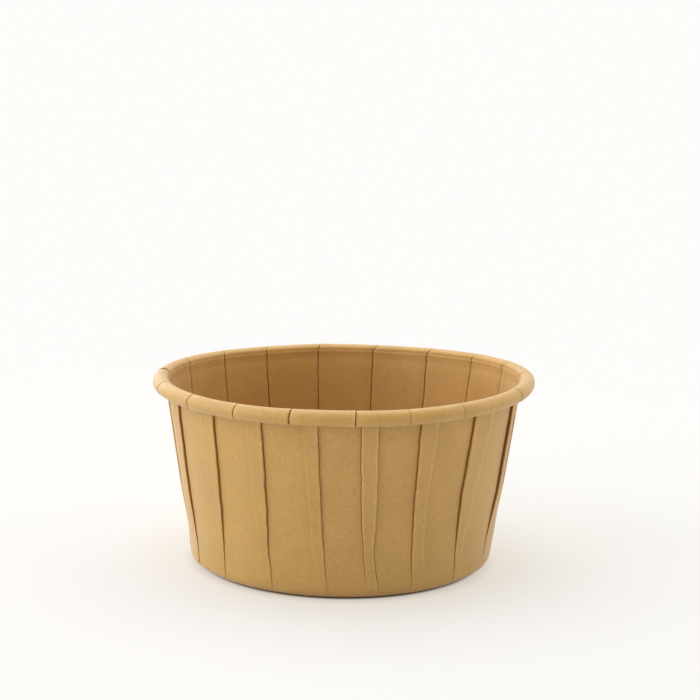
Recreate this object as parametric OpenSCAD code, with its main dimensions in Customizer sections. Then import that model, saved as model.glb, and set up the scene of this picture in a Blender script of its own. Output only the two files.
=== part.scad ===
// Pleated baking cup with a rolled rim, pressed from one round sheet of kraft paper.
// The flat base stands on the plane z = 0, the axis is Z and the mouth opens upwards.
// The wall is a loft of one folded section, which runs on round the rolled rim.

/* [Cup] */
// Outside diameter across the rolled rim
mouth_d = 65; // [60:0.5:75]
// Diameter at which the line of the wall meets the table
base_d = 50.8; // [46:0.2:55]
// Height from the table to the top of the rim
cup_h = 32.5; // [28:0.5:45]
// Outside radius of the rounded edge between base and wall
corner_r = 2.2; // [1.6:0.1:3.2]
// Thickness of the paper
paper_t = 0.16; // [0.12:0.01:0.18]

/* [Rolled rim] */
// Outside diameter of the roll
roll_d = 2.75; // [2.6:0.05:3.4]
// Angle through which the paper is rolled, from where it leaves the wall
roll_turn = 292; // [240:2:296]
// How far the last part of the roll is tucked in towards its middle
roll_tuck = 0.2; // [0.15:0.05:0.3]
// How far the pleats lean to one side on their way round the roll
roll_lean = 1.2; // [0:0.1:2.4]
// Angle of the roll over which they lean
lean_turn = 125; // [90:5:180]

/* [Pleats] */
// Number of pleats
pleat_count = 18; // [14:1:20]
// Width of a pleat's outer band under the rim
band_top_w = 2.8; // [2.4:0.1:3.4]
// Width of a pleat's outer band at its foot
band_foot_w = 1.7; // [1.6:0.1:2.2]
// Gap between two folded layers under the rim, where the pleats spring open
gap_top = 0.12; // [0.08:0.01:0.14]
// Gap between two folded layers where they are pressed flat, at the foot and in the roll
gap_flat = 0.05; // [0.04:0.01:0.08]
// Width of the slit where the two inner folds of a pleat meet
slit_w = 0.1; // [0.08:0.01:0.16]
// Distance of the slit from the edge of the band
slit_in = 0.65; // [0.64:0.01:0.8]
// How far the pleats stray from even spacing, in degrees
pleat_stray = 1.9; // [0:0.1:2.2]
// Angle from the front to the pleat nearest to it, in degrees
first_pleat = -9.25; // [-20:0.25:20]

/* [Hidden] */

// Paper colour, as red, green and blue
kraft = [0.74, 0.58, 0.36];

// The rim is rolled in this many straight facets
roll_steps = 7;
// The layers are pressed flat once the roll has turned this far
press_turn = 90;
// The roll begins to tuck in once it has turned this far
tuck_from = 180;
// The rounded edge of the base has a level at each of these angles from straight down
corner_angles = [0, 21, 42, 62];

// Middle of the roll
roll_r = roll_d / 2;
roll_mid_r = mouth_d / 2 - roll_r;
roll_mid_z = cup_h - roll_r;

// Lean of the wall from upright, so that its inner face runs straight into the roll
wall_run = roll_mid_r - base_d / 2;
wall_lean = acos((roll_r - paper_t) / norm([wall_run, roll_mid_z])) - atan2(roll_mid_z, wall_run);

// Middle of the rounded edge
corner_mid_r = base_d / 2 - corner_r * (1 - sin(wall_lean)) / cos(wall_lean);

// Length of a fold's pointed nose
nose = 1.2 * paper_t;

// A pleat closes at its foot into a low rib, this high above the inner face
rib_h = 2.2 * paper_t;

// A level of the loft: the radius and height of the inner face, the way out through the paper
// in the plane of the axis, half the width of the band, the gap between the layers and the
// sideways lean of the pleats
function corner_level(a) =
    [corner_mid_r + (corner_r - paper_t) * sin(a), corner_r - (corner_r - paper_t) * cos(a),
        sin(a), -cos(a), band_foot_w / 2, gap_flat, 0];

function roll_radius(turn) =
    roll_r - roll_tuck * max(0, turn - tuck_from) / (roll_turn - tuck_from);

function roll_level(turn) =
    let (
        a = 180 - wall_lean - turn,
        r = roll_radius(turn),
        pressed = min(turn / press_turn, 1)
    )
    [roll_mid_r + r * cos(a), roll_mid_z + r * sin(a), -cos(a), -sin(a), band_top_w / 2,
        gap_top + (gap_flat - gap_top) * pressed, -roll_lean * min(turn / lean_turn, 1)];

foot_level = corner_level(90 - wall_lean);
roll_levels = [for (i = [0:roll_steps]) roll_level(roll_turn * i / roll_steps)];
wall_levels = concat([foot_level], roll_levels);
plain_levels = [for (a = corner_angles) corner_level(a)];

// Angle of a pleat from the front
function pleat_angle(k) =
    let (even = 360 * k / pleat_count)
    even + first_pleat - pleat_stray * (sin(2 * even) + sin(3 * even));

// A point of the paper at an angle, u to one side of it and q out from the inner face
function turned(level, angle, u, q) =
    let (a = angle - 90 + (u + level[6]) / level[0] * 180 / PI, r = level[0] + q * level[2])
    [r * cos(a), r * sin(a), level[1] + q * level[3]];

function panel_point(level, k, q) =
    turned(level, (pleat_angle(k - 1) + pleat_angle(k)) / 2, 0, q);

// One pleat's points on the outer and on the inner face of the paper, in matching pairs:
// edge of the band, inner fold, outer fold, outer fold, inner fold, edge of the band.
// h is half the width of the band, g the gap, and left and right are the slit's two sides
function outer_pleat(h, g, left, right) =
    let (t = paper_t, stack = 3 * t + 2 * g, low_tip = t + g / 2, high_tip = 2 * t + 1.5 * g)
    [
        [-h, t],
        [left - nose, t], [left - t, low_tip], [left - nose, t + g],
        [-h + nose, t + g], [-h, high_tip], [-h + nose, stack],
        [h - nose, stack], [h, high_tip], [h - nose, t + g],
        [right + nose, t + g], [right + t, low_tip], [right + nose, t],
        [h, t]
    ];

function inner_pleat(h, g, left, right) =
    let (t = paper_t, two = 2 * t + g, three = two + g, low_tip = t + g / 2, high_tip = two + g / 2)
    [
        [-h, 0],
        [left - nose, 0], [left, low_tip], [left - nose, two],
        [-h + nose, two], [-h + t, high_tip], [-h + nose, three],
        [h - nose, three], [h - t, high_tip], [h - nose, two],
        [right + nose, two], [right, low_tip], [right + nose, 0],
        [h, 0]
    ];

// Below the folds the pleat is a rib on the outer face and a single line on the inner one
function outer_rib(h, height) = [
    [-h, paper_t], [-h + nose, height], [h - nose, height], [h, paper_t]
];

function inner_line(h, slit) = [[-h, 0], [slit, 0], [h, 0]];

function slit_at(level) = slit_in - level[4];

function ring(level, panel_q, pleat) = [
    for (k = [0:pleat_count - 1])
        each concat(
            [panel_point(level, k, panel_q)],
            [for (p = pleat) turned(level, pleat_angle(k), p[0], p[1])])
];

outer_rings = [for (l = wall_levels)
    ring(l, paper_t, outer_pleat(l[4], l[5], slit_at(l) - slit_w / 2, slit_at(l) + slit_w / 2))];
inner_rings = [for (l = wall_levels)
    ring(l, 0, inner_pleat(l[4], l[5], slit_at(l) - slit_w / 2, slit_at(l) + slit_w / 2))];

// The rib stands up at the highest of the plain levels and is gone at the next one down
outer_plain = [for (i = [0:len(plain_levels) - 1])
    let (l = plain_levels[i])
    ring(l, paper_t, outer_rib(l[4], i == len(plain_levels) - 1 ? rib_h : paper_t))];
inner_plain = [for (l = plain_levels) ring(l, 0, inner_line(l[4], slit_at(l)))];

// Number of points of one pleat in each kind of ring
fold_n = len(outer_rings[0]) / pleat_count;
rib_n = len(outer_plain[0]) / pleat_count;
line_n = len(inner_plain[0]) / pleat_count;

// For each point of a folded pleat, the point of the plain level below to which it runs
outer_foot = [0, 1, 1, 1, 1, 1, 2, 2, 3, 3, 4, 4, 4, 4, 4];
inner_foot = [0, 1, 2, 2, 2, 2, 2, 2, 2, 2, 2, 2, 2, 2, 3];

// Faces between two rings with as many points
function even_band(low, high, n) = [
    for (i = [0:n - 1])
        let (j = (i + 1) % n)
        [low + i, low + j, high + j, high + i]
];

// Faces between a plain ring and the ring above it, where the folds begin
function foot_band(low, low_n, high, high_n, foot) =
    let (low_all = low_n * pleat_count, high_all = high_n * pleat_count)
    [for (i = [0:high_all - 1])
        let (
            next = i + 1,
            here = foot[i % high_n] + low_n * floor(i / high_n),
            there = foot[next % high_n] + low_n * floor(next / high_n)
        )
        each concat(
            [[high + i, low + here % low_all, high + next % high_all]],
            [if (there > here) [low + here % low_all, low + there % low_all,
                high + next % high_all]])
    ];

function flipped(faces) = [for (f = faces) [for (i = [len(f) - 1:-1:0]) f[i]]];

// All points: the outer face from the base up, the inner face from the base up, two middles
fold_all = fold_n * pleat_count;
rib_all = rib_n * pleat_count;
line_all = line_n * pleat_count;
plain_count = len(plain_levels);
wall_count = len(wall_levels);

outer_fold_at = plain_count * rib_all;
inner_plain_at = outer_fold_at + wall_count * fold_all;
inner_fold_at = inner_plain_at + plain_count * line_all;
middle_at = inner_fold_at + wall_count * fold_all;

liner_points = concat(
    [for (r = outer_plain) each r],
    [for (r = outer_rings) each r],
    [for (r = inner_plain) each r],
    [for (r = inner_rings) each r],
    [[0, 0, 0], [0, 0, paper_t]]);

outer_faces = concat(
    [for (i = [0:rib_all - 1]) [middle_at, (i + 1) % rib_all, i]],
    [for (s = [0:plain_count - 2]) each even_band(s * rib_all, (s + 1) * rib_all, rib_all)],
    foot_band((plain_count - 1) * rib_all, rib_n, outer_fold_at, fold_n, outer_foot),
    [for (s = [0:wall_count - 2])
        each even_band(outer_fold_at + s * fold_all, outer_fold_at + (s + 1) * fold_all, fold_all)]);

inner_faces = concat(
    [for (i = [0:line_all - 1])
        [middle_at + 1, inner_plain_at + (i + 1) % line_all, inner_plain_at + i]],
    [for (s = [0:plain_count - 2])
        each even_band(inner_plain_at + s * line_all, inner_plain_at + (s + 1) * line_all, line_all)],
    foot_band(inner_plain_at + (plain_count - 1) * line_all, line_n, inner_fold_at, fold_n, inner_foot),
    [for (s = [0:wall_count - 2])
        each even_band(inner_fold_at + s * fold_all, inner_fold_at + (s + 1) * fold_all, fold_all)]);

// The cut edge of the paper, inside the end of the roll
edge_faces = even_band(
    outer_fold_at + (wall_count - 1) * fold_all,
    inner_fold_at + (wall_count - 1) * fold_all, fold_all);

module liner() {
    color(kraft)
        polyhedron(points = liner_points, faces = concat(flipped(outer_faces),
            inner_faces, flipped(edge_faces)), convexity = 12);
}

liner();
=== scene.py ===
import math
import random

import bmesh
import bpy
from mathutils import Matrix, Vector


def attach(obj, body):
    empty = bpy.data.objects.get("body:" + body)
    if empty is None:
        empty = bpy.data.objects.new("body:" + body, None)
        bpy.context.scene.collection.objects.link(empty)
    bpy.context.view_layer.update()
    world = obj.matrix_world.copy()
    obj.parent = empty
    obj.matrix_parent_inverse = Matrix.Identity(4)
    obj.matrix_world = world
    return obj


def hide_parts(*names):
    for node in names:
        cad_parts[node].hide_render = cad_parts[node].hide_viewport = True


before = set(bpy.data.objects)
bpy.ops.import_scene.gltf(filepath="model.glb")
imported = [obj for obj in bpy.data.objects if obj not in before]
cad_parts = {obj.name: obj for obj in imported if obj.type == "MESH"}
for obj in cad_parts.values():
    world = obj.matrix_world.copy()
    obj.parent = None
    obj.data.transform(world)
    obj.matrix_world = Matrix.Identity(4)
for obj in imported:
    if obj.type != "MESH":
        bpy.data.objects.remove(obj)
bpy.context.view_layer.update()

# The liner: one round sheet of brown kraft paper, pressed between heated dies into a cup.
# Eighteen box pleats of three layers take up the paper that the narrowing wall has to spare.
# The rim is rolled outwards over the pleats, which holds them shut; nothing is glued.
MM = 0.001
paper_t = 0.16
mouth_d = 65.0
base_d = 50.8
cup_h = 32.5
corner_r = 2.2
roll_in = 1.375
roll_r = 1.32
roll_turn = 292.0
roll_tuck = 0.2
pleat_count = 18
fold_seed = random.Random(1807)

# The roll's middle lies roll_in inside the rim's widest and highest points
roll_mid_r = mouth_d / 2 - roll_in
roll_mid_z = cup_h - roll_in
wall_run = roll_mid_r - base_d / 2
wall_lean = (math.acos((roll_r - paper_t) / math.hypot(wall_run, roll_mid_z))
             - math.atan2(roll_mid_z, wall_run))
corner_mid_r = base_d / 2 - corner_r * (1 - math.sin(wall_lean)) / math.cos(wall_lean)


def corner_place(angle):
    """Radius and height of the inner face in the rounded base edge, and the way out of it."""
    inner_r = corner_r - paper_t
    return (corner_mid_r + inner_r * math.sin(angle), corner_r - inner_r * math.cos(angle),
            math.sin(angle), -math.cos(angle))


def roll_place(turn):
    """The same in the rolled rim, once the paper has turned this many degrees."""
    a = math.pi - wall_lean - math.radians(turn)
    r = roll_r - roll_tuck * max(0.0, turn - 180.0) / (roll_turn - 180.0)
    return (roll_mid_r + r * math.cos(a), roll_mid_z + r * math.sin(a),
            -math.cos(a), -math.sin(a))


def wall_place(part):
    """The same on the straight wall, from its foot, 0, to the start of the roll, 1."""
    foot = corner_place(math.pi / 2 - wall_lean)
    top = roll_place(0.0)
    return tuple(a + (b - a) * part for a, b in zip(foot, top))


# Edges of each pleat's outer band, in mm to the side of the pleat's middle, at four heights.
# Pleat 0 is just left of the front's middle, and the others follow it to the right and round.
# The wall's foot is at the lowest height, and rim_h stands for every place in the roll.
edge_heights = (2.6, 8.0, 15.0, 28.0)
foot_h = edge_heights[0]
rim_h = 30.0
band_edges = {
    0: ((0.6, -0.05, -0.45, -1.3), (2.15, 1.8, 1.5, 1.15)),
    1: ((0.8, 0.2, -0.4, -0.95), (2.7, 1.85, 1.95, 1.75)),
    2: ((-0.15, -0.7, -1.1, -1.3), (1.8, 1.5, 1.05, 1.85)),
    3: ((-1.25, -1.95, -2.45, -2.05), (0.3, -0.1, 0.35, 2.6)),
    4: ((-2.4, -2.55, -1.7, -1.75), (-0.4, 0.1, 0.8, 0.6)),
    14: ((-1.6, -1.5, -1.3, -1.0), (0.9, 0.9, 1.0, 1.2)),
    15: ((-0.7, -0.8, -1.1, -1.3), (1.1, 1.3, 1.3, 1.9)),
    16: ((-1.9, -1.9, -1.9, -1.95), (-0.3, 0.2, 0.75, 1.25)),
    17: ((-1.0, -1.2, -1.5, -1.95), (0.7, 0.5, 0.7, 0.8)),
}
for k in range(5, 14):
    sway = fold_seed.uniform(-0.5, 0.5)
    band_edges[k] = tuple(
        tuple(side * half + fold_seed.uniform(-0.2, 0.2) + sway * share
              for half, share in ((0.9, 1), (1.05, 0.6), (1.25, 0.2), (1.45, 0)))
        for side in (-1, 1))

# Where the two inner folds of a pleat meet on the front of the roll, in mm from its middle,
# and how wide they stand apart there
rim_joint = {0: (-2.8, 0.14), 1: (-2.1, 0.15), 2: (-4.3, 0.0), 3: (-7.0, 0.0), 4: (-4.1, 0.17),
             15: (-1.95, 0.06), 16: (-2.3, 0.06), 17: (-2.9, 0.08)}
for k in range(5, 15):
    rim_joint[k] = (-1.3 + fold_seed.uniform(-0.5, 0.3), fold_seed.choice((0.04, 0.08, 0.12)))
rim_joint[5] = (rim_joint[5][0], 0.16)
rim_joint[14] = (-1.9, 0.5)

# Gap under the band's left and right edge, where the fold springs open
edge_gap = {k: (0.09 + fold_seed.uniform(-0.03, 0.05), 0.09 + fold_seed.uniform(-0.03, 0.05))
            for k in range(pleat_count)}
edge_gap.update({0: (0.04, 0.09), 1: (0.13, 0.18), 2: (0.11, 0.06), 3: (0.13, 0.06),
                 4: (0.26, 0.14), 14: (0.06, 0.03), 15: (0.06, 0.09), 16: (0.06, 0.09),
                 17: (0.05, 0.08)})

# Painted highlight, partly real wear, along the band's left and right fold: below nothing it is
# lighter, above darker
fold_highlight_and_wear = {k: (-0.5, -0.5) for k in range(pleat_count)}
fold_highlight_and_wear.update({0: (-0.5, -0.9), 1: (-1.6, -1.8), 2: (-1.4, -1.6), 3: (-1.0, -1.7),
                  4: (-1.0, -1.5), 14: (0.0, -1.2), 15: (-0.4, -0.7), 16: (-0.2, -0.7),
                  17: (-0.2, -0.9)})

# How dark the painted shade line beside the left and right fold is; below nothing it is a painted
# highlight
fold_line_shade = {k: (1.0, 1.0) for k in range(pleat_count)}
fold_line_shade.update({0: (0.3, 1.0), 14: (1.0, -1.2), 15: (0.5, 1.0), 16: (0.4, 1.0), 17: (0.4, 1.0)})

# How wide that line is on the panel beside the left and right fold
line_wide = {k: (0.05, 0.05) for k in range(pleat_count)}
line_wide.update({1: (0.12, 0.17), 2: (0.1, 0.05), 3: (0.2, 0.05), 4: (0.55, 0.05)})

# How dark the painted shade just left of each joint on the roll is; below nothing it is a painted
# highlight
joint_shade_and_light = {k: -0.3 for k in range(pleat_count)}
joint_shade_and_light.update({1: -1.8, 4: 0.7, 5: 0.7, 14: 1.0, 17: -1.8})


def pleat_angle(k):
    """Angle of a pleat's middle from the front, to the right; the spacing isn't quite even."""
    even = math.radians(360.0 * k / pleat_count)
    return even + math.radians(-9.25 - 1.9 * (math.sin(2 * even) + math.sin(3 * even)))


def easy_step(x):
    """From 0 to 1 with soft ends, as x goes from 0 to 1."""
    x = min(max(x, 0.0), 1.0)
    return x * x * (3 - 2 * x)


def edge_curve(values, height):
    """A smooth line through the four values of a band's edge."""
    hs, n = edge_heights, len(edge_heights)
    if height <= hs[0]:
        return values[0]
    if height >= hs[-1]:
        return values[-1]
    i = max(j for j in range(n - 1) if hs[j] <= height)
    slope = []
    for j in (i, i + 1):
        a, b = max(j - 1, 0), min(j + 1, n - 1)
        slope.append((values[b] - values[a]) / (hs[b] - hs[a]))
    w = hs[i + 1] - hs[i]
    t = (height - hs[i]) / w
    return ((2 * t ** 3 - 3 * t ** 2 + 1) * values[i] + (t ** 3 - 2 * t ** 2 + t) * w * slope[0]
            + (-2 * t ** 3 + 3 * t ** 2) * values[i + 1] + (t ** 3 - t ** 2) * w * slope[1])


class Waver:
    """A small smooth unevenness along a line, the same at every run."""

    def __init__(self, size, lengths):
        self.waves = [(size * fold_seed.uniform(0.5, 1.0) / len(lengths) * 1.6,
                       2 * math.pi / span, fold_seed.uniform(0, 2 * math.pi))
                      for span in lengths]

    def __call__(self, x):
        return sum(a * math.sin(f * x + p) for a, f, p in self.waves)


edge_waver = {(k, side): Waver(0.07, (3.1, 5.3, 9.7)) for k in range(pleat_count)
              for side in (0, 1)}
panel_bulge = [fold_seed.uniform(-0.06, 0.1) for k in range(pleat_count)]
panel_tilt = [fold_seed.uniform(-0.08, 0.08) for k in range(pleat_count)]
panel_waver = [Waver(0.07, (7.0, 13.0, 23.0)) for k in range(pleat_count)]
rim_wave = [(fold_seed.uniform(0.3, 1.0), n, fold_seed.uniform(0, 2 * math.pi))
            for n in (2, 3, 5, 7, 11)]
rim_step = [fold_seed.uniform(0.03, 0.07) for k in range(pleat_count)]
rim_step[2] = rim_step[3] = 0.015
rim_step[14] = 0.11
# The roll's step at each joint fades out over this distance
step_fade = 0.6


def rim_uneven(angle):
    """The rim's long waves at this angle, between about -1 and 1."""
    return sum(a * math.sin(n * angle + p) / n for a, n, p in rim_wave)


# Gap between the layers where they are pressed shut, how far the slit behind a band lies in
# from the band's left edge, how wide it is, and the least width of a band
shut_gap = 0.045
slit_in = 0.62
slit_wide = 0.09
band_least = 1.35
# A fold that springs open lifts the band beside it by less and less over this distance
spring_fade = 0.45


def folded_pleat(left, right, slit, slit_w, gap_left, gap_right):
    """Middle line of the three layers of a pleat, with the side on which its outer face lies.
    It runs from the left panel into the fold at the slit, back under the band, round the
    band's left edge, over the band, round its right edge and back to the slit."""
    t = paper_t
    fold_r = (t + shut_gap) / 2
    panel_q = t / 2
    under_q = panel_q + 2 * fold_r
    left_q = panel_q + t + gap_left
    right_q = panel_q + t + gap_right
    band_q = under_q + t + 0.6 * shut_gap
    pts = []

    def bend(cu, cq, start, stop, steps, outward):
        for i in range(steps + 1):
            a = math.radians(start + (stop - start) * i / steps)
            c, s = math.cos(a), math.sin(a)
            pts.append((cu + fold_r * c, cq + fold_r * s, outward * c, outward * s))

    bend(slit - slit_w / 2 - fold_r - t / 2, panel_q + fold_r, -90, 90, 4, -1)
    from_left = left + fold_r + t / 2
    from_right = right - fold_r - t / 2
    bend(from_left, left_q + fold_r, -90, -270, 6, 1)
    high_left = left_q + 2 * fold_r
    high_right = right_q + 2 * fold_r
    width = max(from_right - from_left, 0.1)
    for f in (0.07, 0.2, 0.4, 0.6, 0.8, 0.93):
        lift_l = (high_left - band_q) * math.exp(-f * width / spring_fade)
        lift_r = (high_right - band_q) * math.exp(-(1 - f) * width / spring_fade)
        slope = (lift_r - lift_l) / spring_fade
        n = 1 / math.hypot(1, slope)
        pts.append((from_left + width * f, band_q + lift_l + lift_r, -slope * n, n))
    bend(from_right, right_q + fold_r, 90, -90, 6, 1)
    back = slit + slit_w / 2 + fold_r + t / 2
    for f in (0.3, 0.65):
        pts.append((from_right + (back - from_right) * f,
                    under_q + (right_q - under_q) * (1 - f) ** 2, 0.0, -1.0))
    bend(back, panel_q + fold_r, 90, 270, 4, -1)
    return pts


# Points across the sheet in each pleat, and in the panel that follows it
fold_points = 32
panel_points = 10
pleat_points = fold_points + panel_points
# A panel's first and last point lie this far outside the edges of the bands beside it
edge_clear = 0.03

# How much of the painted shade line and of the painted highlight, partly wear, each point of the fold
# takes
fold_shade_share = [1.0] * 8 + [0.9, 0.4] + [0.0] * 10 + [0.4, 0.9] + [1.0] * 10
highlight_and_wear_share = {10: 0.3, 11: 1.0, 12: 0.6, 17: 0.6, 18: 1.0, 19: 0.3}

# Degrees of the roll's turn by which the edge gaps have closed, the panels have flattened and
# the joints stand in their own places
shut_turn = 70
flat_turn = 60
joint_turn = 75
# From 80 to 180 degrees every joint strays this much further to the left, and the late ones
# reach their full width only from 110 to 180 degrees
joint_stray = 0.2
late_joints = (15, 16)

# Levels of the sheet from the middle of the base to its cut edge in the roll:
# (place, height on the wall, share of the edge gaps, turn of the roll, rib height, shade).
# The rib is what the crushed layers make at the foot, with None for the pleats further up.
# The shade is painted shade on the base's rounded edge, close to the table.
base_rings = (20.5, 22.2)
corner_rows = ((0, 0, 0.0), (14, 0, 1.0), (28, 0, 1.0), (40, 0, 0.25), (51, 0.05, 0.0),
               (61, 0.35, 0.0), (71, 0.85, 0.0))
levels = [((r, paper_t, 0.0, -1.0), foot_h, 0.0, 0.0, 0, 0.0) for r in base_rings]
for angle, rib, shade in corner_rows:
    levels.append((corner_place(math.radians(angle)), foot_h, 0.0, 0.0, rib, shade))
wall_steps = 26
wall_parts = [0.95 * i / wall_steps for i in range(wall_steps)]
wall_parts += [0.95, 0.963, 0.972, 0.98, 0.986, 0.993]
for part in wall_parts:
    place = wall_place(part)
    opened = easy_step(part / 0.8) * 0.8 + 0.2 * part
    levels.append((place, place[1], opened, 0.0, None, 0.0))
roll_steps = 25
for i in range(roll_steps + 1):
    turn = roll_turn * i / roll_steps
    levels.append((roll_place(turn), rim_h, 1.0 - easy_step(turn / shut_turn), turn, None, 0.0))

# At the foot the layers of a pleat are crushed together to this share of their height,
# and they are at their full height this far up the wall
foot_press = 0.26
press_end = 15.0
# They run out over the base's rounded edge in a low rib of this height, with rounded sides
rib_high = 0.7 * paper_t
rib_round = 0.2

# The pressing leaves the base's outermost part, from its first ring on, this far off the table
base_lift = 0.13

# Inside the cup a fine bead shows where the roll starts, with a painted highlight at its edge and a
# strip of painted shade under it
bead_z = 31.25
bead_high = 0.11
bead_highlight = -2.0
strip_painted_shade = 0.35
# Along the roll's lower side, between these turns in degrees, a painted highlight lightens the paper
highlight_from = 206
highlight_to = 238
roll_highlight = -0.8


def bead(z, turn):
    """How far the paper stands in at the bead, with the painted shade there and at the roll's start,
    and the painted highlights on the bead's edge and the roll's lower side.
    """
    if turn > 70:
        low = easy_step((turn - highlight_from) / 12) * (1 - easy_step((turn - highlight_to) / 14))
        return 0.0, roll_highlight * low
    stands = bead_high * easy_step((z - bead_z + 0.12) / 0.2) * (1 - easy_step((turn - 15) / 50))
    if turn > 1:
        return stands, 0.6 * (1 - easy_step((turn - 20) / 25))
    if abs(z - bead_z) < 0.12:
        return stands, bead_highlight
    strip = easy_step((z - bead_z + 1.4) / 0.5) * (1 - easy_step((z - bead_z + 0.2) / 0.1))
    return stands, strip_painted_shade * strip


def pressed(q, height):
    """Height q of a folded layer above the inner face, crushed towards the foot."""
    share = foot_press + (1 - foot_press) * easy_step((height - foot_h) / (press_end - foot_h))
    return paper_t + (q - paper_t) * share if q > paper_t else q


def rib_point(i, u, left, right, tall):
    """Where point i of a pleat's outer face lies on the low rib at the foot. Points 8 to 11
    climb its left side, 12 to 17 are on its top and 18 to 21 go down its right side."""
    if i < 8:
        return left, paper_t
    if i < 12:
        a = (i - 7) / 5 * math.pi / 2
        return left + rib_round * (1 - math.cos(a)), paper_t + tall * math.sin(a)
    if i < 18:
        return u, paper_t + tall
    if i < 22:
        a = (22 - i) / 5 * math.pi / 2
        return right - rib_round * (1 - math.cos(a)), paper_t + tall * math.sin(a)
    return right, paper_t


# A cup of folded paper is never quite round or level. This one stands out a little at the right,
# and at the left below the roll, most at its foot. Its rim rises to the right and sags a little
# at the left. All of this grows from nothing at the table, so the base stays flat and round.
wave_size = 0.10
right_out = 0.45
left_out = 0.2
left_foot_out = 0.3
rim_rise = 0.72
rim_sag = 0.15


def uneven_point(r, z, a, wave):
    """The point of the sheet at this radius, height and angle, in the shape the cup has taken."""
    to_right = math.cos(a)
    high = easy_step((z - 12) / 20)
    r += wave_size * wave * easy_step((z - 4) / 28)
    r += right_out * max(0.0, to_right) ** 2 * easy_step(z / 1.5)
    out = left_out * easy_step((30 - z) / 3) + left_foot_out * easy_step((6 - z) / 5)
    r += out * min(0.0, to_right) ** 2 * easy_step(z / 1.2)
    rise = rim_rise * max(0.0, (r * to_right - 8) / 24) ** 1.5
    sag = rim_sag * math.sin(math.pi * min(max((-r * to_right - 4) / 26, 0), 1))
    z += (wave_size * rim_uneven(2.0 + a) + rise - sag) * high
    return r * to_right * MM, r * math.sin(a) * MM, z * MM


# The folds' painted lines of shade and highlight are faint up to this height on the wall, and full
# this much further up
line_from = 1.6
line_over = 4.5
line_least = 0.05
# Deep inside, painted shade darkens and warms the paper, full from 4 mm below this height
deep_from = 31.2
deep_shade = 0.3

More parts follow.
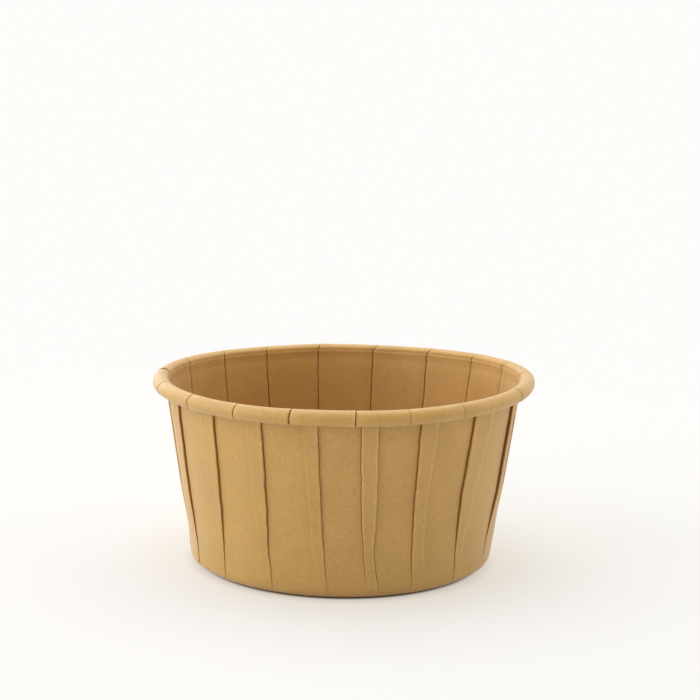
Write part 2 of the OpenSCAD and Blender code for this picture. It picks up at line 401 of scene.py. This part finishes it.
outer_rings, inner_rings = [], []
outer_light_and_wear, inner_painted_light = [], []
for place, height, opened, turn, rib, shade in levels:
    r0, z0, nr, nz = place
    lift = base_lift * easy_step((r0 - base_rings[0]) / 3.2) * (1 - easy_step((z0 - 0.2) / 1.1))
    rolled = easy_step(turn / joint_turn)
    rising = easy_step((turn - 20) / 60)
    on_wall = 1.0 if rib is None else rib * 0.6
    flat = easy_step(turn / flat_turn)
    # Painted shade and highlights at the bead and along the roll, and painted shade deep inside
    stands, bead_and_roll_painted_light = bead(z0, turn)
    deep = deep_shade * easy_step((deep_from - z0) / 4) if turn < 30 else 0.0
    shapes = []
    for k in range(pleat_count):
        left = edge_curve(band_edges[k][0], height) + edge_waver[k, 0](height)
        right = edge_curve(band_edges[k][1], height) + edge_waver[k, 1](height + 40)
        right = max(right, left + band_least)
        slit = left + slit_in
        joint, joint_gap = rim_joint[k]
        if k in late_joints:
            joint_gap *= 0.3 + 0.7 * easy_step((turn - 110) / 70)
        slit_w = slit_wide + (joint_gap - slit_wide) * rolled
        lean = (joint - (edge_curve(band_edges[k][0], rim_h) + slit_in)) * rolled
        lean -= joint_stray * easy_step((turn - 80) / 100)
        shapes.append((left, right, slit, slit_w, lean))
    outer, inner = [], []
    for k in range(pleat_count):
        left, right, slit, slit_w, lean = shapes[k]
        after = (k + 1) % pleat_count
        next_left, _, next_slit, _, next_lean = shapes[after]
        here = pleat_angle(k)
        there = pleat_angle(after) + (0 if after else 2 * math.pi)
        gaps = [shut_gap + (g - shut_gap) * opened for g in edge_gap[k]]
        half = paper_t / 2
        column = []
        for i, (u, q, nu, nq) in enumerate(folded_pleat(left, right, slit, slit_w, *gaps)):
            if rib is None:
                u_out, q_out = u + nu * half, pressed(q + nq * half, height)
                u_in, q_in = u - nu * half, pressed(q - nq * half, height)
            else:
                u_out, q_out = rib_point(i, u, left, right, rib_high * rib)
                u_in, q_in = slit, 0.0
            side = 0 if i < fold_points / 2 else 1
            # Painted shade beside the folds, and painted highlights where the values are below nothing
            out_painted_light = fold_line_shade[k][side] * fold_shade_share[i] + fold_highlight_and_wear[k][side] * highlight_and_wear_share.get(i, 0.0)
            # On the inner face the slit lies in painted shade, and at the roll's joints painted shade
            # and highlights
            in_painted_light = 1.0 if 1 < i < 30 else 0.0
            if turn > 30 and i < 2:
                in_painted_light = joint_shade_and_light[k]
            column.append((here + (u_out + lean) / r0, q_out, here + (u_in + lean) / r0, q_in,
                           out_painted_light, in_painted_light))
        start = here + (right + edge_clear + lean) / r0
        stop = there + (next_left - edge_clear + next_lean) / r0
        line_left = line_wide[after][0] / r0
        line_right = line_wide[k][1] / r0
        # The panel's first and last points carry the painted shade line of the fold beside them
        for i in range(panel_points):
            if i == 0:
                a, panel_painted_light = start, fold_line_shade[k][1]
            elif i == panel_points - 1:
                a, panel_painted_light = stop, fold_line_shade[after][0]
            else:
                f = (i - 1) / (panel_points - 3)
                a = start + line_right + (stop - start - line_left - line_right) * f
                panel_painted_light = 0.0
            column.append((a, paper_t, a, 0.0, panel_painted_light if turn < 30 else 0.0, 0.0))
        for i, (a_out, q_out, a_in, q_in, out_painted_light, in_painted_light) in enumerate(column):
            f = min(max(((a_out + a_in) / 2 - here) / (there - here), 0.0), 1.0)
            bulge = (panel_bulge[k] * 4 * f * (1 - f) + panel_tilt[k] * (f - 0.5) * 4 * f * (1 - f)
                     + panel_waver[k](height) * math.sin(math.pi * f)) * on_wall * (1 - flat)
            # The roll steps down a little from one side of each joint to the other
            behind = (a_in - here) * r0 - lean - slit
            ahead = (there - a_in) * r0 + next_lean + next_slit
            if behind >= 0:
                step = rim_step[after] * math.exp(-ahead / step_fade) * rising
            else:
                step = rim_step[k] * math.exp(behind / step_fade) * rising
            wave = rim_uneven((a_out + a_in) / 2)
            dq = bulge - step - stands
            for ring, a, q in ((outer, a_out, q_out), (inner, a_in, q_in)):
                ring.append(uneven_point(r0 + (q + dq) * nr, z0 + (q + dq) * nz + lift,
                                         a - math.pi / 2, wave))
            # The painted shade line at pleat 1's right edge stays full down to the foot
            full = 1.0 if k == 1 and 16 < i < 34 else easy_step((height - line_from) / line_over)
            line = out_painted_light * (line_least + (1 - line_least) * full)
            # The outer face carries the folds' painted shade and highlights, and on the base's edge
            # its painted shade; the inner face those of slits, joints, bead and deep inside
            outer_light_and_wear.append(line if rib is None else shade)
            inner_painted_light.append((in_painted_light or bead_and_roll_painted_light or deep) if rib is None else deep)
    outer_rings.append(outer)
    inner_rings.append(inner)

around = pleat_count * pleat_points
points = [p for ring in outer_rings for p in ring] + [p for ring in inner_rings for p in ring]
light_and_wear_values = outer_light_and_wear + inner_painted_light
half_count = len(levels) * around
middle_out = len(points)
points += [(0.0, 0.0, 0.0), (0.0, 0.0, paper_t * MM)]
light_and_wear_values += [0.0, 0.0]
faces = []
for row in range(len(levels) - 1):
    for i in range(around):
        j = (i + 1) % around
        a, b = row * around + i, row * around + j
        c, d = (row + 1) * around + j, (row + 1) * around + i
        faces.append((a, b, c, d))
        faces.append((half_count + d, half_count + c, half_count + b, half_count + a))
last = (len(levels) - 1) * around
for i in range(around):
    j = (i + 1) % around
    faces.append((last + i, last + j, half_count + last + j, half_count + last + i))
    faces.append((middle_out, j, i))
    faces.append((middle_out + 1, half_count + i, half_count + j))

sheet_mesh = bpy.data.meshes.new("liner_sheet")
sheet_mesh.from_pydata(points, [], faces)
# Painted shade and painted highlights, partly wear, are carried on the sheet's points
light_and_wear_attr = sheet_mesh.attributes.new("painted_light_and_wear", "FLOAT", "POINT")
light_and_wear_attr.data.foreach_set("value", light_and_wear_values)
work = bmesh.new()
work.from_mesh(sheet_mesh)
bmesh.ops.remove_doubles(work, verts=work.verts, dist=1e-8)
bmesh.ops.dissolve_degenerate(work, edges=work.edges, dist=1e-8)
for face in work.faces:
    face.smooth = True
work.to_mesh(sheet_mesh)
work.free()
sheet_mesh.validate()
liner = bpy.data.objects.new("liner_sheet", sheet_mesh)
bpy.context.collection.objects.link(liner)

# Kraft paper: long brown fibres in a matte, slightly cloudy sheet, thin enough that light
# from behind warms it.
kraft = bpy.data.materials.new("kraft_paper")
kraft.use_nodes = True
nodes, links = kraft.node_tree.nodes, kraft.node_tree.links
nodes.clear()
out = nodes.new("ShaderNodeOutputMaterial")
paper = nodes.new("ShaderNodeBsdfPrincipled")
links.new(paper.outputs["BSDF"], out.inputs["Surface"])
place_in_m = nodes.new("ShaderNodeTexCoord")


def kraft_place(source, scale, turn=(0, 0, 0)):
    m = nodes.new("ShaderNodeMapping")
    m.inputs["Rotation"].default_value = turn
    m.inputs["Scale"].default_value = scale
    links.new(source, m.inputs["Vector"])
    return m.outputs["Vector"]


def kraft_noise(place, scale, detail, rough):
    n = nodes.new("ShaderNodeTexNoise")
    n.inputs["Scale"].default_value = scale
    n.inputs["Detail"].default_value = detail
    n.inputs["Roughness"].default_value = rough
    links.new(place, n.inputs["Vector"])
    return n.outputs["Fac"]


def kraft_range(source, low, high, to_low, to_high):
    m = nodes.new("ShaderNodeMapRange")
    m.inputs["From Min"].default_value = low
    m.inputs["From Max"].default_value = high
    m.inputs["To Min"].default_value = to_low
    m.inputs["To Max"].default_value = to_high
    links.new(source, m.inputs["Value"])
    return m.outputs["Result"]


def kraft_math(kind, a, b):
    m = nodes.new("ShaderNodeMath")
    m.operation = kind
    for socket, value in ((m.inputs[0], a), (m.inputs[1], b)):
        if isinstance(value, (int, float)):
            socket.default_value = value
        else:
            links.new(value, socket)
    return m.outputs[0]


def kraft_mix(kind, share, under, colour):
    m = nodes.new("ShaderNodeMix")
    m.data_type = "RGBA"
    m.blend_type = kind
    links.new(share, m.inputs["Factor"])
    links.new(under, m.inputs["A"])
    m.inputs["B"].default_value = colour
    return m.outputs["Result"]


dark_brown = (0.43, 0.240, 0.056, 1)
plain_brown = (0.545, 0.313, 0.078, 1)
light_brown = (0.66, 0.388, 0.104, 1)
# Painted highlights, partly wear, mix this colour into the paper
highlight_and_wear_brown = (0.72, 0.49, 0.18, 1)
# Painted shade in folds, gaps, the base's edge and deep inside multiplies the paper's colour by this
# one
painted_shade_colour = (0.66, 0.43, 0.11, 1)

# Clouds, mottles, a fine grain and two layers of fibres that cross make the paper's tone
in_mm = kraft_place(place_in_m.outputs["Object"], (1000, 1000, 1000))
cloud = kraft_noise(in_mm, 0.16, 3, 0.55)
mottle = kraft_noise(in_mm, 2.0, 4, 0.65)
grain = kraft_noise(in_mm, 6.2, 3, 0.7)
fibre_a = kraft_noise(kraft_place(in_mm, (9.0, 1.2, 1.2), (0.3, 0.9, 0.4)), 1.0, 2, 0.5)
fibre_b = kraft_noise(kraft_place(in_mm, (1.2, 8.0, 1.2), (1.1, 0.2, 0.8)), 1.0, 2, 0.5)
tone = kraft_range(cloud, 0.3, 0.7, -0.35, 0.35)
tone = kraft_math("ADD", tone, kraft_range(mottle, 0.3, 0.7, -0.3, 0.3))
tone = kraft_math("ADD", tone, kraft_range(grain, 0.25, 0.75, -1.2, 1.2))
tone = kraft_math("ADD", tone, kraft_range(fibre_a, 0.3, 0.7, -0.35, 0.35))
tone = kraft_math("ADD", tone, kraft_range(fibre_b, 0.3, 0.7, -0.35, 0.35))
ramp = nodes.new("ShaderNodeValToRGB")
ramp.color_ramp.elements[0].position = 0.1
ramp.color_ramp.elements[0].color = dark_brown
ramp.color_ramp.elements[1].position = 0.9
ramp.color_ramp.elements[1].color = light_brown
middle = ramp.color_ramp.elements.new(0.5)
middle.color = plain_brown
links.new(kraft_range(tone, -2.2, 2.2, 0.0, 1.0), ramp.inputs["Fac"])

# Painted shade darkens the paper inside folds and gaps, and painted highlights, partly wear, lighten
# fold edges
light_and_wear_node = nodes.new("ShaderNodeAttribute")
light_and_wear_node.attribute_name = "painted_light_and_wear"
painted_light_and_wear = light_and_wear_node.outputs["Fac"]
shaded = kraft_mix("MULTIPLY", kraft_range(painted_light_and_wear, 0.0, 1.0, 0.0, 0.9), ramp.outputs["Color"],
                   painted_shade_colour)
lit_and_worn = kraft_math("MULTIPLY", kraft_range(painted_light_and_wear, 0.0, -1.0, 0.0, 1.0),
                  kraft_range(mottle, 0.45, 0.65, 0.0, 0.35))
lit_and_worn = kraft_math("ADD", lit_and_worn, kraft_range(painted_light_and_wear, -1.0, -2.0, 0.0, 0.6))
links.new(kraft_mix("MIX", lit_and_worn, shaded, highlight_and_wear_brown), paper.inputs["Base Color"])
smooth = kraft_range(mottle, 0.3, 0.7, 0.44, 0.56)
dull = kraft_range(painted_light_and_wear, 0.0, 1.0, 0.0, 0.5)
links.new(kraft_math("ADD", smooth, dull), paper.inputs["Roughness"])
paper.inputs["Specular IOR Level"].default_value = 0.62
paper.inputs["Sheen Weight"].default_value = 0.24
paper.inputs["Sheen Roughness"].default_value = 0.45
paper.inputs["Subsurface Weight"].default_value = 0.2
paper.inputs["Subsurface Radius"].default_value = (1.0, 0.85, 0.7)
paper.inputs["Subsurface Scale"].default_value = 0.00012

# Fine crinkles run across the rolled rim, where the sheet was drawn together, and fade out
# down the wall. They are laid out in mm along a rim of this radius.
crinkle_r = 31.0
apart = nodes.new("ShaderNodeSeparateXYZ")
links.new(in_mm, apart.inputs["Vector"])
from_front = kraft_math("ARCTAN2", apart.outputs["X"],
                        kraft_math("MULTIPLY", apart.outputs["Y"], -1.0))
along_rim = nodes.new("ShaderNodeCombineXYZ")
links.new(kraft_math("MULTIPLY", from_front, crinkle_r), along_rim.inputs["X"])
links.new(kraft_math("MULTIPLY", apart.outputs["Z"], 0.25), along_rim.inputs["Y"])
crinkle = kraft_noise(along_rim.outputs["Vector"], 1.1, 2.0, 0.5)
drawn = kraft_math("ADD", kraft_range(apart.outputs["Z"], 29.3, 30.3, 0.0, 0.7),
                   kraft_range(apart.outputs["Z"], 10.0, 30.0, 0.0, 0.3))
drawn = kraft_math("MULTIPLY", drawn, kraft_range(cloud, 0.42, 0.6, 1.6, 7.5))
relief = grain
for source, strength in ((mottle, 1.2), (crinkle, drawn), (fibre_a, 0.6), (fibre_b, 0.6)):
    relief = kraft_math("ADD", relief, kraft_math("MULTIPLY", source, strength))
bump = nodes.new("ShaderNodeBump")
bump.inputs["Strength"].default_value = 0.35
bump.inputs["Distance"].default_value = 0.00004
links.new(relief, bump.inputs["Height"])
links.new(bump.outputs["Normal"], paper.inputs["Normal"])
sheet_mesh.materials.append(kraft)

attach(liner, "root")
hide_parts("liner")

# The table: white card on which the cup stands free, seen without a horizon.
# Round the cup it keeps the soft shadow, and further out it fades into the room's white.
floor_mesh = bpy.data.meshes.new("floor_sheet")
floor_work = bmesh.new()
bmesh.ops.create_grid(floor_work, x_segments=1, y_segments=1, size=3.0)
floor_work.to_mesh(floor_mesh)
floor_work.free()
floor = bpy.data.objects.new("floor_sheet", floor_mesh)
floor.location = (0, 0, -0.00002)
bpy.context.collection.objects.link(floor)
white_card = bpy.data.materials.new("white_card")
white_card.use_nodes = True
card_nodes, card_links = white_card.node_tree.nodes, white_card.node_tree.links
card = card_nodes["Principled BSDF"]
card.inputs["Roughness"].default_value = 0.9
card.inputs["Specular IOR Level"].default_value = 0.1
card_place = card_nodes.new("ShaderNodeTexCoord")
card_far = card_nodes.new("ShaderNodeVectorMath")
card_far.operation = "LENGTH"
card_links.new(card_place.outputs["Object"], card_far.inputs[0])


def card_range(near, far, reach=1.0, kind="SMOOTHSTEP"):
    """From nothing at the near distance from the cup's middle, in metres, to reach at the far."""
    m = card_nodes.new("ShaderNodeMapRange")
    m.interpolation_type = kind
    m.inputs["From Min"].default_value = near
    m.inputs["From Max"].default_value = far
    m.inputs["To Min"].default_value = 0.0
    m.inputs["To Max"].default_value = reach
    card_links.new(card_far.outputs["Value"], m.inputs["Value"])
    return m.outputs["Result"]


def card_mix(share, near_colour, far_colour):
    m = card_nodes.new("ShaderNodeMix")
    m.data_type = "RGBA"
    card_links.new(share, m.inputs["Factor"])
    m.inputs["A"].default_value = near_colour
    m.inputs["B"].default_value = far_colour
    return m.outputs["Result"]


def card_math(kind, a, b):
    m = card_nodes.new("ShaderNodeMath")
    m.operation = kind
    card_links.new(a, m.inputs[0])
    card_links.new(b, m.inputs[1])
    return m.outputs[0]


# Under the cup's rounded edge the card's colour is painted shade, brown as the paper
painted_brown_shade = (0.50, 0.29, 0.06, 1)
card_grey = (0.765, 0.75, 0.735, 1)
card_links.new(card_mix(card_range(0.0238, 0.0270, kind="LINEAR"), painted_brown_shade, card_grey),
               card.inputs["Base Color"])
# Near the cup the card's white glow carries a little painted warm reflection of the paper
card_white = card_nodes.new("ShaderNodeEmission")
card_white.inputs["Strength"].default_value = 0.985
warm_white = (1.0, 0.95, 0.875, 1)
plain_white = (1.0, 0.993, 0.975, 1)
card_links.new(card_mix(card_range(0.024, 0.042), warm_white, plain_white),
               card_white.inputs["Color"])
card_path = card_nodes.new("ShaderNodeLightPath")
card_seen = card_path.outputs["Is Camera Ray"]
for ray in ("Is Glossy Ray", "Is Transmission Ray"):
    card_seen = card_math("MAXIMUM", card_seen, card_path.outputs[ray])
card_fade = card_math("ADD", card_range(0.0236, 0.0249, 0.57), card_range(0.05, 0.20, 0.43))
card_both = card_nodes.new("ShaderNodeMixShader")
card_links.new(card_math("MULTIPLY", card_fade, card_seen), card_both.inputs["Fac"])
card_links.new(card.outputs["BSDF"], card_both.inputs[1])
card_links.new(card_white.outputs["Emission"], card_both.inputs[2])
card_links.new(card_both.outputs[0], card_nodes["Material Output"].inputs["Surface"])
floor_mesh.materials.append(white_card)

# Soft daylight: a bright white room all round, a wide soft window on the left and a weaker
# one on the right, with more light from above and from behind.
room = bpy.data.worlds.new("white_room")
bpy.context.scene.world = room
room.use_nodes = True
room_nodes, room_links = room.node_tree.nodes, room.node_tree.links
room_nodes.clear()
room_out = room_nodes.new("ShaderNodeOutputWorld")
room_light = room_nodes.new("ShaderNodeBackground")
room_light.inputs["Color"].default_value = (1.0, 0.99, 0.975, 1)
room_light.inputs["Strength"].default_value = 0.42
room_white = room_nodes.new("ShaderNodeBackground")
room_white.inputs["Color"].default_value = plain_white
room_white.inputs["Strength"].default_value = 0.985
room_path = room_nodes.new("ShaderNodeLightPath")
room_seen = room_path.outputs["Is Camera Ray"]
for ray in ("Is Glossy Ray", "Is Transmission Ray"):
    either = room_nodes.new("ShaderNodeMath")
    either.operation = "MAXIMUM"
    room_links.new(room_seen, either.inputs[0])
    room_links.new(room_path.outputs[ray], either.inputs[1])
    room_seen = either.outputs[0]
room_both = room_nodes.new("ShaderNodeMixShader")
room_links.new(room_seen, room_both.inputs["Fac"])
room_links.new(room_light.outputs[0], room_both.inputs[1])
room_links.new(room_white.outputs[0], room_both.inputs[2])
room_links.new(room_both.outputs[0], room_out.inputs["Surface"])


def soft_window(name, place, size, watts, colour):
    """A window of this size, in metres, that faces the middle of the cup."""
    lamp = bpy.data.lights.new(name, "AREA")
    lamp.shape = "RECTANGLE"
    lamp.size, lamp.size_y = size
    lamp.energy = watts
    lamp.color = colour
    window = bpy.data.objects.new(name, lamp)
    window.location = place
    window.rotation_euler = (Vector((0, 0, 0.015)) - Vector(place)).to_track_quat(
        "-Z", "Y").to_euler()
    bpy.context.collection.objects.link(window)


soft_window("window_left", (-0.84, -0.22, 0.42), (1.2, 1.0), 7.6, (0.93, 0.97, 1.0))
soft_window("window_right", (0.88, 0.1, 0.40), (1.0, 0.8), 2.9, (1.0, 0.955, 0.70))
soft_window("window_above", (-0.05, 0.30, 0.95), (1.2, 1.0), 7.3, (1.0, 0.985, 0.93))
soft_window("window_back", (-0.55, 0.85, 0.30), (0.8, 0.5), 2.2, (1.0, 0.98, 0.96))

# The camera stands in front, about 10 degrees above the middle of the picture, and is turned
# by 1 degree about its own line of sight.
camera_data = bpy.data.cameras.new("camera")
camera_data.sensor_width = 36.0
camera_data.sensor_fit = "HORIZONTAL"
camera_data.lens = 87.38
camera_data.clip_start = 0.01
camera_data.clip_end = 20.0
camera = bpy.data.objects.new("camera", camera_data)
aim = Vector((1.128, 0.0, 36.59)) * MM
camera_above = math.radians(9.747)
camera_away = 291.75 * MM
camera_turn = 0.017
camera.location = aim + camera_away * Vector((0.0, -math.cos(camera_above), math.sin(camera_above)))
look = (aim - camera.location).to_track_quat("-Z", "Y").to_matrix()
camera.rotation_euler = (look @ Matrix.Rotation(camera_turn, 3, "Z")).to_euler()
bpy.context.collection.objects.link(camera)
bpy.context.scene.camera = camera
bpy.context.scene.view_settings.view_transform = "Standard"
